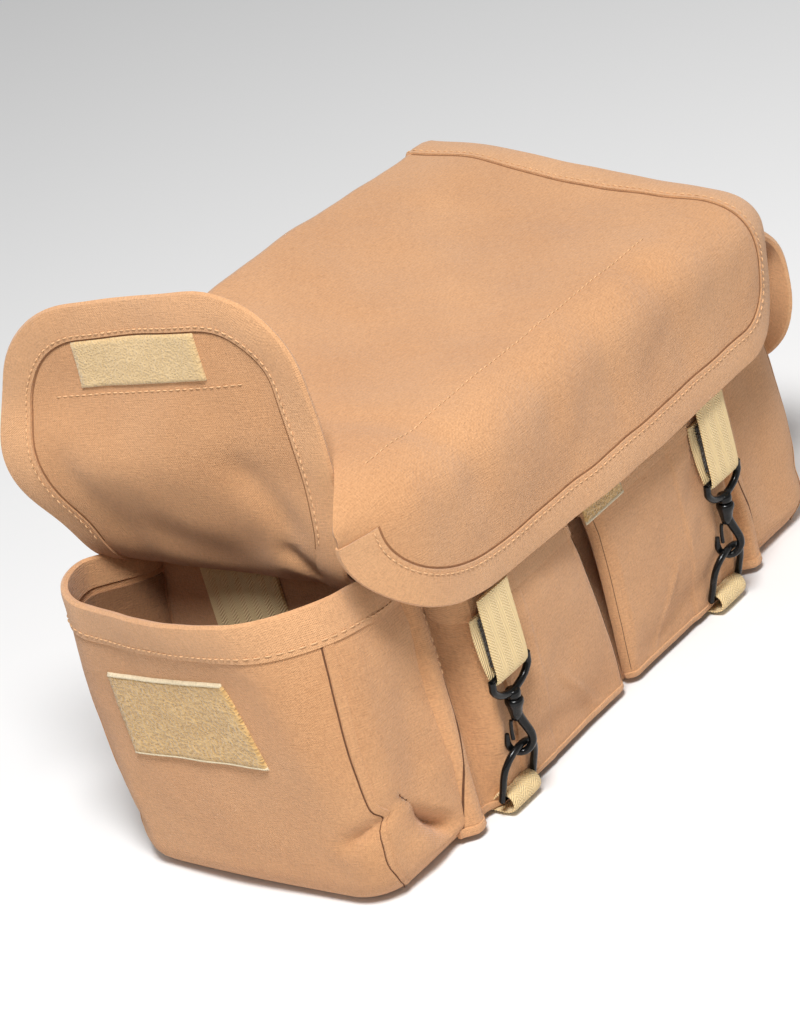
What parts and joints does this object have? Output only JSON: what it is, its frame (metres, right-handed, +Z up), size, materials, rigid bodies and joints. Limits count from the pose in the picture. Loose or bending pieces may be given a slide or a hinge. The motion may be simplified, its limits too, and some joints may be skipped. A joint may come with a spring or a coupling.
{
  "type": "canvas tail bag",
  "caption": "Box-shaped canvas bag with a strapped main flap, pleated front pockets and flapped end pockets, for carrying gear on a rack or shoulder.",
  "frame": {"origin": "centre of the underside of the base", "axes": "+X along the bag's length, -Y to the front with the straps, +Z up"},
  "size_m": [0.4333, 0.2021, 0.3122],
  "materials": {
    "canvas": "matte woven cotton canvas",
    "canvas_trim": "matte folded canvas binding",
    "webbing": "ribbed cotton webbing",
    "loop_tape": "fuzzy loop pile",
    "hook_tape": "hook tape",
    "dark_tape": "dark pile",
    "black_metal": "gloss black lacquer",
    "board": "matte"
  },
  "bodies": {
    "bag": {"main_body_shell": "canvas", "base_board": "board", "front_closure_patch": "loop_tape", "front_pocket_left": "canvas", "front_pocket_left_hem": "canvas_trim", "end_pocket_left": "canvas", "end_pocket_left_rim": "canvas_trim", "end_pocket_left_loop_patch": "loop_tape", "end_pocket_left_webbing": "webbing", "d_ring_left_loop": "webbing", "front_pocket_right": "canvas", "front_pocket_right_hem": "canvas_trim", "end_pocket_right": "canvas", "end_pocket_right_rim": "canvas_trim", "end_pocket_right_loop_patch": "loop_tape", "end_pocket_right_webbing": "webbing", "d_ring_right_loop": "webbing"},
    "main_flap": {"main_flap_panel": "canvas", "main_flap_binding": "canvas_trim", "main_flap_reinforcement": "canvas", "closure_strap_left_sewn_end": "webbing", "closure_strap_right_sewn_end": "webbing"},
    "end_cover_left": {"end_flap_left_cover": "canvas"},
    "end_tongue_left": {"end_flap_left_tongue": "canvas", "end_flap_left_binding": "canvas_trim", "end_flap_left_hook_strip": "hook_tape"},
    "strap_left": {"closure_strap_left": "webbing", "closure_strap_left_hook_tape": "dark_tape", "closure_strap_left_loop_tape": "dark_tape"},
    "hook_eye_left": {"snap_hook_left_eye": "black_metal"},
    "hook_left": {"snap_hook_left_body": "black_metal"},
    "gate_left": {"snap_hook_left_gate": "black_metal"},
    "ring_left": {"d_ring_left": "black_metal"},
    "end_cover_right": {"end_flap_right_cover": "canvas"},
    "end_tongue_right": {"end_flap_right_tongue": "canvas", "end_flap_right_binding": "canvas_trim", "end_flap_right_hook_strip": "hook_tape"},
    "strap_right": {"closure_strap_right": "webbing", "closure_strap_right_hook_tape": "dark_tape", "closure_strap_right_loop_tape": "dark_tape"},
    "hook_eye_right": {"snap_hook_right_eye": "black_metal"},
    "hook_right": {"snap_hook_right_body": "black_metal"},
    "gate_right": {"snap_hook_right_gate": "black_metal"},
    "ring_right": {"d_ring_right": "black_metal"}
  },
  "joints": [
    {"name": "main_flap_open", "type": "hinge", "parent": "bag", "child": "main_flap", "pos_m": [0, 0.068, 0.238], "axis": [-1, 0, 0], "range_deg": [0, 165]},
    {"name": "end_flap_left_cover_fold", "type": "hinge", "parent": "bag", "child": "end_cover_left", "pos_m": [-0.146, -0.075, 0.1585], "axis": [0.0607, -0.9931, -0.1001], "range_deg": [0, 62.8]},
    {"name": "end_flap_left_tongue_fold", "type": "hinge", "parent": "end_cover_left", "child": "end_tongue_left", "pos_m": [-0.17686, -0.00323, 0.22711], "axis": [0.1219, -0.9925, 0], "range_deg": [0, 127.4]},
    {"name": "strap_left_swing", "type": "hinge", "parent": "main_flap", "child": "strap_left", "pos_m": [-0.1, -0.1108, 0.124], "axis": [-1, 0, 0], "range_deg": [0, 75]},
    {"name": "hook_eye_left_swing", "type": "hinge", "parent": "strap_left", "child": "hook_eye_left", "pos_m": [-0.1, -0.1075, 0.082], "axis": [-1, 0, 0], "range_deg": [0, 60]},
    {"name": "hook_left_swivel", "type": "hinge", "parent": "hook_eye_left", "child": "hook_left", "pos_m": [-0.1, -0.1075, 0.082], "axis": [0, 0.1392, -0.9903], "range_deg": [0, 90]},
    {"name": "gate_left_press", "type": "hinge", "parent": "hook_left", "child": "gate_left", "pos_m": [-0.10226, -0.10094, 0.05162], "axis": [-0.7071, -0.7002, -0.0984], "range_deg": [0, 22], "stiffness_Nm_per_rad": 0.004, "springref_deg": -17.19},
    {"name": "d_ring_left_swing", "type": "hinge", "parent": "bag", "child": "ring_left", "pos_m": [-0.1, -0.0915, 0.0107], "axis": [1, 0, 0], "range_deg": [0, 88]},
    {"name": "end_flap_right_cover_fold", "type": "hinge", "parent": "bag", "child": "end_cover_right", "pos_m": [0.146, 0, 0.1585], "axis": [0, -1, 0], "range_deg": [0, 62.5]},
    {"name": "end_flap_right_tongue_fold", "type": "hinge", "parent": "end_cover_right", "child": "end_tongue_right", "pos_m": [0.21696, 0, 0.17077], "axis": [0, -1, 0], "range_deg": [0, 127.5]},
    {"name": "strap_right_swing", "type": "hinge", "parent": "main_flap", "child": "strap_right", "pos_m": [0.094, -0.1108, 0.124], "axis": [-1, 0, 0], "range_deg": [0, 75]},
    {"name": "hook_eye_right_swing", "type": "hinge", "parent": "strap_right", "child": "hook_eye_right", "pos_m": [0.094, -0.1075, 0.082], "axis": [-1, 0, 0], "range_deg": [0, 60]},
    {"name": "hook_right_swivel", "type": "hinge", "parent": "hook_eye_right", "child": "hook_right", "pos_m": [0.094, -0.1075, 0.082], "axis": [0, 0.1392, -0.9903], "range_deg": [0, 90]},
    {"name": "gate_right_press", "type": "hinge", "parent": "hook_right", "child": "gate_right", "pos_m": [0.09174, -0.10094, 0.05162], "axis": [-0.7071, -0.7002, -0.0984], "range_deg": [0, 22], "stiffness_Nm_per_rad": 0.004, "springref_deg": -17.19},
    {"name": "d_ring_right_swing", "type": "hinge", "parent": "bag", "child": "ring_right", "pos_m": [0.094, -0.0915, 0.0107], "axis": [1, 0, 0], "range_deg": [0, 88]}
  ],
  "couplings": [
    {"joint": "end_flap_left_tongue_fold", "follows": "end_flap_left_cover_fold", "ratio": 2.0286},
    {"joint": "end_flap_right_tongue_fold", "follows": "end_flap_right_cover_fold", "ratio": 2.04}
  ]
}
